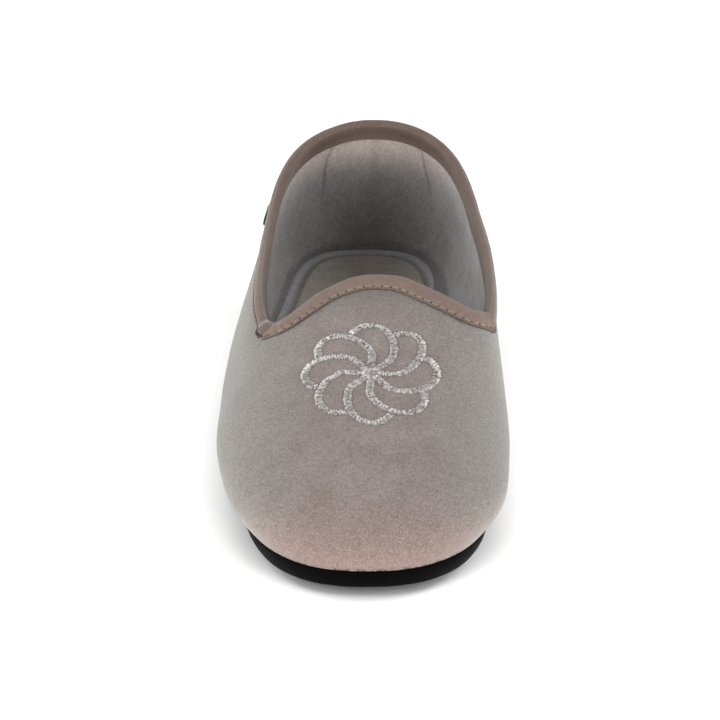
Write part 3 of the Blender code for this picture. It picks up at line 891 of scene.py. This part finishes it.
def makeRosette(material):
    stroke = dict(zip(strokeColumns, np.array(strokeRows).T))
    knots = np.linspace(0, 1, len(strokeRows))
    t = np.linspace(0, 1, rosette["samples"])
    reach = rosette["radius"] * smoothThrough(t, knots, stroke["reach"])
    turn = smoothThrough(t, knots, stroke["turn"])
    bands = []
    for petal in range(rosette["petals"]):
        angle = np.radians(rosette["firstTip"] + petal * 360 / rosette["petals"] + turn)
        across = reach * np.cos(angle)
        along = rosette["stretch"] * reach * np.sin(angle) + rosette["bow"] * across**2
        bands.append(satinBand(across, along, 0.0, 1.0))
    loop = np.linspace(0, 2 * math.pi, rosette["hubSamples"])
    hub = rosette["hubRadius"]
    bands.append(satinBand(hub * np.cos(loop), hub * np.sin(loop), rosette["hubLift"], 0.0))
    points, glints, faces, caps, first = [], [], [], [], 0
    for band, glint in bands:
        rows, columns = band.shape[:2]
        points.append(band.reshape(-1, 3))
        glints.append(glint.ravel())
        faces.append(gridFaces(rows, columns) + first)
        caps += [first + np.arange(columns)[::-1], first + (rows - 1) * columns + np.arange(columns)]
        first += rows * columns
    points, faces, layers = join(points), join(faces), {"glint": join(glints)}
    dress(addPiece("rosetteEmbroidery", points, faces, layers, caps, sharp=75), material)


# Side tab: a folded end of ribbon, caught under the lower edge of the collar's tape on the outer side

sideTab = {
    "share": -0.50, "width": 5.6, "perShare": 165.0, "columns": 40, "runRows": 16, "foldRows": 14,
    "top": 2.8, "drop": 9.5, "stand": 1.1, "opens": 3.0, "off": 0.4, "inner": 0.25,
}


def makeTab(material):
    # a loop in section: down the outside, round the fold and up the inside
    tab = sideTab
    stand, fold = tab["stand"], tab["drop"] - tab["stand"]
    span = tab["width"] / tab["perShare"]
    share = tab["share"] + np.linspace(-span / 2, span / 2, tab["columns"])
    turn = np.linspace(0, math.pi, tab["foldRows"])
    run = np.linspace(tab["top"], fold, tab["runRows"])
    swell = 0.5 + 0.5 * smoothStep(tab["top"], tab["drop"] - tab["opens"], run)
    depth = join([run, fold + stand * np.sin(turn), run[::-1]])
    overFold = stand * (0.5 + 0.5 * np.cos(turn))
    out = join([tab["off"] + stand * swell, tab["off"] + overFold, 0 * run + tab["inner"]])
    depth = np.broadcast_to(depth, (len(share), len(depth)))
    points, normals = walkFrom(collarTape, share, depth)
    points = points + normals * out[None, :, None]
    dress(addGrid("sideTab", points, capped=True, weld=True), material)


# Insole: a padded footbed with a raised rim, a pressed groove and a sunk panel

insoleShape = {
    "columns": 400, "edge": 3.0, "height": 3.5, "heelInset": 0.55, "sideInset": 2.45, "rim": 4.2,
    "rimRise": 0.35, "groove": 0.55, "grooveBeyond": 0.4, "grooveWidth": 1.2, "panelEdge": 14.0,
    "panelRise": 0.25, "panelSlope": 3.0, "topRows": 56, "panelRows": 14,
    "grooveShade": 0.45, "rimShade": 0.30, "rimBlur": 0.6,
}
insoleEdgeColumns = ("inset", "height", "reach")  # underside and rounded edge; reach is 0 on the spine
insoleEdgeRows = (
    (2.80, 0.3, 0.0), (2.80, 0.3, 0.6), (2.80, 0.3, 1.0), (2.50, 0.8, 1.0),
    (2.35, 1.8, 1.0), (2.40, 2.7, 1.0), (2.65, 3.3, 1.0),
)


def makeInsole(material):
    # rings set inside the feather line: underside, rounded edge, rim, groove and panel, closing on the spine
    shape = insoleShape
    edge = dict(zip(insoleEdgeColumns, np.array(insoleEdgeRows).T))
    inset = np.linspace(shape["edge"], shape["panelEdge"], shape["topRows"])
    grooveAt = shape["edge"] + shape["rim"]
    rim = shape["rimRise"] * np.sin(math.pi * np.clip((inset - shape["edge"]) / shape["rim"], 0, 1))
    panel = shape["panelRise"] * smoothStep(grooveAt, grooveAt + shape["panelSlope"], inset)
    # the groove's profile, which also sets its painted shade
    shadedBand = bump(inset, grooveAt + shape["grooveBeyond"], shape["grooveWidth"])
    top = shape["height"] + rim + panel - shape["groove"] * shadedBand
    onRim = smoothStep(grooveAt + shape["rimBlur"], grooveAt - shape["rimBlur"], inset)
    reachIn = np.linspace(1, 0, shape["panelRows"])[1:]
    insets = join([edge["inset"], inset, 0 * reachIn + shape["panelEdge"]])
    heights = join([edge["height"], top, 0 * reachIn + top[-1]])
    reach = join([edge["reach"], 0 * inset + 1, reachIn])
    # painted shade: darker in the groove, and below on the rim towards the sides
    seamAndShade = join([0 * edge["inset"], shape["grooveShade"] * shadedBand, 0 * reachIn])
    rimmed = join([0 * edge["inset"], onRim, 0 * reachIn])
    turn, row = np.meshgrid(np.arange(shape["columns"]) / shape["columns"], np.arange(len(insets)))
    angle = ringAngle(turn)
    across = np.sin(angle) ** 2
    x, y, station = featherPoint(angle, insets[row] + shape["heelInset"] + shape["sideInset"] * across)
    spine = np.clip(station, *last["spineEnds"])
    flatY = alongFoot(spine) + reach[row] * (y - alongFoot(spine))
    place = 0.5 - flatY / last["length"]
    points = np.stack([x * reach[row], flatY, sectionAt("feather", place) + heights[row]], -1)
    layers = {"seamAndShade": seamAndShade[row] + shape["rimShade"] * rimmed[row] * across, "tint": rimmed[row]}
    piece = addGrid("paddedInsole", points, layers, weld=True)
    dress(piece, material, "insole")


# Outsole: a moulded wedge with a softly rounded side and a shallow tread of bars

outsoleShape = {
    "columns": 600, "sideRows": 22, "underRows": 50, "bottomInset": 4.2, "topInset": 0.5, "topGap": 0.15,
    "topEdge": 0.25, "bulge": 0.04, "treadMargin": 6.0, "treadPitch": 8.0, "treadDepth": 0.9,
    "chevron": 0.35, "treadWall": (0.32, 0.48), "archBlur": 0.02,
}


def tread(x, y, station):
    # grooves across the foot in a shallow chevron, kept off the rim and the arch
    shape = outsoleShape
    bar = (y + shape["chevron"] * np.abs(x)) / shape["treadPitch"] % 1
    groove = smoothStep(*shape["treadWall"], np.abs(bar - 0.5))
    (low, high), blur = last["archSpan"], shape["archBlur"]
    arch = smoothStep(low - blur, low + blur, station) * (1 - smoothStep(high - blur, high + blur, station))
    return shape["treadDepth"] * groove * (1 - arch)


def makeOutsole(material):
    # rings from the middle of the top over the side to the middle of the tread
    shape = outsoleShape
    side = np.linspace(0, 1, shape["sideRows"])
    sideInset = shape["topEdge"] * (1 - smoothStep(0, 0.08, side)) + shape["bottomInset"] * side**2.2 * 0.55
    sideInset = sideInset + shape["bottomInset"] * 0.45 * smoothStep(0.78, 1, side) ** 1.5
    sideRise = 1 - side + shape["bulge"] * np.sin(math.pi * smoothStep(0.85, 1, side))
    under = np.linspace(1, 0, shape["underRows"])[1:]
    topReach = np.array((0, 0.6, 1))
    insets = join([0 * topReach + shape["topInset"], sideInset, 0 * under + shape["bottomInset"]])
    rises = join([0 * topReach + 1, sideRise, 0 * under])
    reach = join([topReach, 0 * side + 1, under])
    below = join([0 * topReach, 0 * side, 0 * under + 1])
    turn, row = np.meshgrid(np.arange(shape["columns"]) / shape["columns"], np.arange(len(insets)))
    angle = ringAngle(turn)
    x, y, station = featherPoint(angle, insets[row] * sectionAt("undercut", outline(angle)[1]))
    # the grid's lines follow the tread's bars, from the same place on the spine on both sides
    halfWidth = (np.abs(x) + np.roll(np.abs(x)[:, ::-1], 1, axis=1)) / 2
    heelEnd, toeEnd = alongFoot(np.array(last["spineEnds"]))
    spineY = np.clip(alongFoot(station) + shape["chevron"] * halfWidth, toeEnd, heelEnd)
    flatX, flatY = x * reach[row], spineY + reach[row] * (y - spineY)
    place = 0.5 - flatY / last["length"]
    low, high = ground(place), sectionAt("feather", place) - shape["topGap"]
    inside = smoothStep(0, shape["treadMargin"], np.hypot(x - flatX, y - flatY)) * below[row]
    height = low + rises[row] * (high - low) + inside * tread(flatX, flatY, place)
    points = np.stack([flatX, flatY, height], -1)
    dress(addGrid("rubberOutsole", points, weld=True), material, "outsole")


makeUpper(velourMicrofibre())
# lining felt: the tint is a warmer heel top painted lighter; the dark colour goes on sewn lines and painted
# shade
makeLining(woolFelt("feltLining", "#959392", "#ADABAB", "#CDBDB7", "#4C4840"))
# insole felt: the tint is the rim's bluer piping; the dark colour is painted shade in the groove and on the
# rim's sides
makeInsole(woolFelt("insoleFelt", "#A59F97", "#BCB6AA", "#B4B5B8", "#4A4846"))
makeOutsole(mouldedRubber())
# lit and shaded copies of one binding tape: the collar's painted darker, the throat's painted lighter
shadedCollarCloth = foldedTape("collarBindingTapeShaded", "#6B5A53", "#7D6B61")
litThroatCloth = foldedTape("throatBindingTapeLit", "#7F6D64", "#8F7C72")
makeTape("collarTape", collarTape, shadedCollarCloth, "collar_binding")
makeTape("throatTape", throatTape, litThroatCloth, "throat_binding")
collarThread = sewingThread("oliveThread", "#6B604E", "#84775F")
throatThread = sewingThread("beigeThread", "#94806C", "#BBA792")
makeStitches("collarStitches", collarTape, collarThread)
makeStitches("throatStitches", throatTape, throatThread)
makeRosette(metallicThread())
makeTab(grosgrainRibbon())


# Stage: pale floor, soft light and the photo's camera

studio = {"floorSize": 6.0, "floorDrop": 0.2, "floor": "#F4F4F4", "horizon": 1.16, "fall": 3.0}
softboxColumns = ("azimuth", "elevation", "distance", "size", "power", "floorOnly")  # metres and watts
softboxRows = (
    (-50.0, 24.0, 1.7, 1.0, 13.8, False),
    (50.0, 24.0, 1.7, 1.0, 12.6, False),
    (-110.0, 35.0, 1.7, 1.0, 12.5, False),
    (110.0, 35.0, 1.7, 1.0, 11.2, False),
    (-2.0, 71.0, 1.7, 1.2, 21.8, True),  # keeps the floor white under the slipper's soft shadow
)
view = {
    "target": np.array((0.0, 0.0, 35.0)), "azimuth": 0.0, "elevation": 24.4, "distance": 1200.0,
    "focal": 3562.0, "middleX": 365.9, "middleY": 333.8, "image": 720,  # pixels of the photo's frame
    "sensor": 36.0, "clip": (0.05, 50.0),
}


def outTo(azimuth, elevation):
    # direction away from the slipper, with azimuth 0 straight in front
    around, up = math.radians(azimuth), math.radians(elevation)
    return np.array((math.sin(around) * math.cos(up), -math.cos(around) * math.cos(up), math.sin(up)))


def makeStage():
    half = studio["floorSize"] / 2
    mesh = bpy.data.meshes.new("floor")
    corners = [(-half, -half, 0), (half, -half, 0), (half, half, 0), (-half, half, 0)]
    mesh.from_pydata(corners, [], [(0, 1, 2, 3)])
    material, *_ = newMaterial("studioFloor", {"Base Color": linear(studio["floor"]), "Roughness": 0.9})
    mesh.materials.append(material)
    floor = addObject("floor", mesh)
    floor.location.z = -studio["floorDrop"] * mm
    world = bpy.data.worlds.new("studio")
    world.use_nodes = True
    # a tent of white cloth: bright round the horizon and dim overhead, by a power of one minus the height
    tree = world.node_tree
    direction = addNode(tree, "TexCoord").outputs["Generated"]
    height = addNode(tree, "SeparateXYZ", links={0: direction})
    settings = {"operation": "SUBTRACT", "use_clamp": True}
    low = addNode(tree, "Math", settings, {0: 1.0}, {1: height.outputs["Z"]})
    fall = addNode(tree, "Math", {"operation": "POWER"}, {1: studio["fall"]}, {0: low.outputs[0]})
    glow = addNode(tree, "Math", {"operation": "MULTIPLY"}, {1: studio["horizon"]}, {0: fall.outputs[0]})
    background = tree.nodes["Background"]
    background.inputs["Color"].default_value = (1.0, 1.0, 1.0, 1.0)
    wire(tree, background, {"Strength": glow.outputs[0]})
    bpy.context.scene.world = world
    for row in softboxRows:
        box = dict(zip(softboxColumns, row))
        light = bpy.data.lights.new("softbox", "AREA")
        light.size = box["size"]
        light.energy = box["power"]
        lamp = addObject("softbox", light)
        lamp.location = outTo(box["azimuth"], box["elevation"]) * box["distance"]
        lamp.rotation_mode = "QUATERNION"
        lamp.rotation_quaternion = lamp.location.to_track_quat("Z", "Y")
        if box["floorOnly"]:
            lit = bpy.data.collections.new("litFloor")
            lit.objects.link(floor)
            lamp.light_linking.receiver_collection = lit


def makeCamera():
    # the camera stands back from the target along the photo's line of sight
    back = outTo(view["azimuth"], view["elevation"])
    data = bpy.data.cameras.new("camera")
    data.sensor_width = view["sensor"]
    data.lens = view["focal"] / view["image"] * data.sensor_width
    data.shift_x = (view["image"] / 2 - view["middleX"]) / view["image"]
    data.shift_y = (view["middleY"] - view["image"] / 2) / view["image"]
    data.clip_start, data.clip_end = view["clip"]
    camera = addObject("camera", data)
    camera.location = (view["target"] - last["middle"] + back * view["distance"]) * mm
    camera.rotation_euler = (math.radians(90 - view["elevation"]), 0.0, math.radians(view["azimuth"]))
    bpy.context.scene.camera = camera


makeStage()
makeCamera()
bpy.context.scene.view_settings.view_transform = "Standard"
